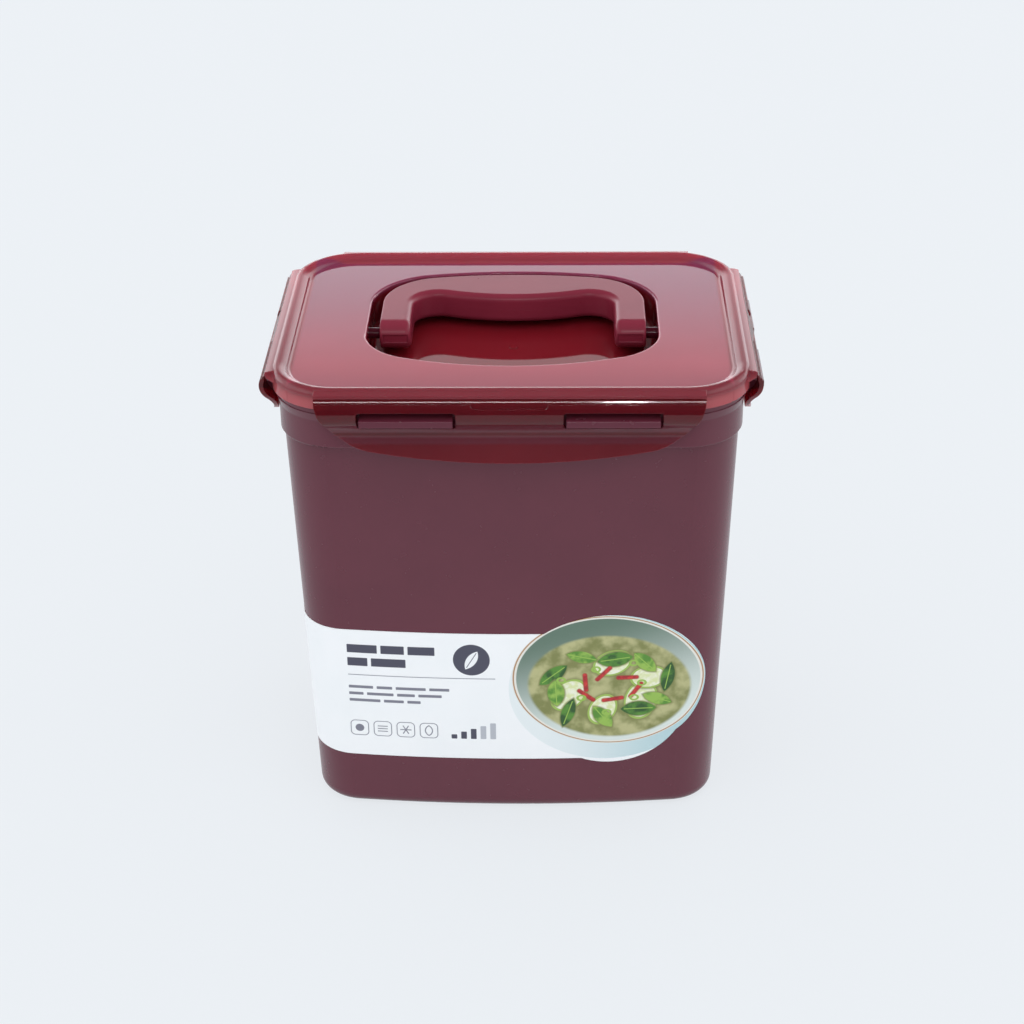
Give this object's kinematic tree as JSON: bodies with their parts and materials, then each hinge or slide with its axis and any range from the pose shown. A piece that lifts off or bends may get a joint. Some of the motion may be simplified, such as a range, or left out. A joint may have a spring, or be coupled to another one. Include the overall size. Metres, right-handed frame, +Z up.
{
  "type": "kimchi container",
  "caption": "Tall plastic food keeper with a clip-down lid, hinged latches on its sides, a fold-down carrying handle in the lid's recess and a wrap-round label.",
  "frame": {"origin": "middle of the base, on the face that the container stands on", "axes": "+Z up, -Y out of the long labelled front, +X to the right seen from the front"},
  "size_m": [0.2152, 0.163, 0.218],
  "materials": {
    "body_plastic": "plum polypropylene, smooth, slightly satin",
    "lid_plastic": "wine-red polypropylene, glossy and a little see-through",
    "latch_plastic": "wine-red polypropylene, glossy and a little see-through",
    "seal_silicone": "soft milky silicone",
    "handle_plastic": "plum-red polypropylene, satin on top",
    "label_film": "white printed film with a soft sheen"
  },
  "bodies": {
    "container": {"container_body": "body_plastic", "label": "label_film"},
    "lid": {"lid_panel": "lid_plastic", "lid_seal": "seal_silicone"},
    "front_wing": {"front_latch": "latch_plastic"},
    "back_wing": {"back_latch": "latch_plastic"},
    "left_wing": {"left_latch": "latch_plastic"},
    "right_wing": {"right_latch": "latch_plastic"},
    "grip": {"handle": "handle_plastic"}
  },
  "joints": [
    {"name": "lid_lift", "type": "slide", "parent": "container", "child": "lid", "axis": [0, 0, 1], "range_m": [0, 0.16]},
    {"name": "front_latch_hinge", "type": "hinge", "parent": "lid", "child": "front_wing", "pos_m": [0, -0.0776, 0.21455], "axis": [-1, 0, 0], "range_deg": [0, 110]},
    {"name": "back_latch_hinge", "type": "hinge", "parent": "lid", "child": "back_wing", "pos_m": [0, 0.0776, 0.21455], "axis": [1, 0, 0], "range_deg": [0, 110]},
    {"name": "left_latch_hinge", "type": "hinge", "parent": "lid", "child": "left_wing", "pos_m": [-0.1037, 0, 0.21455], "axis": [0, 1, 0], "range_deg": [0, 110]},
    {"name": "right_latch_hinge", "type": "hinge", "parent": "lid", "child": "right_wing", "pos_m": [0.1037, 0, 0.21455], "axis": [0, -1, 0], "range_deg": [0, 110]},
    {"name": "handle_pivot", "type": "hinge", "parent": "lid", "child": "grip", "pos_m": [0, 0.0014, 0.2092], "axis": [1, 0, 0], "range_deg": [0, 90]}
  ]
}
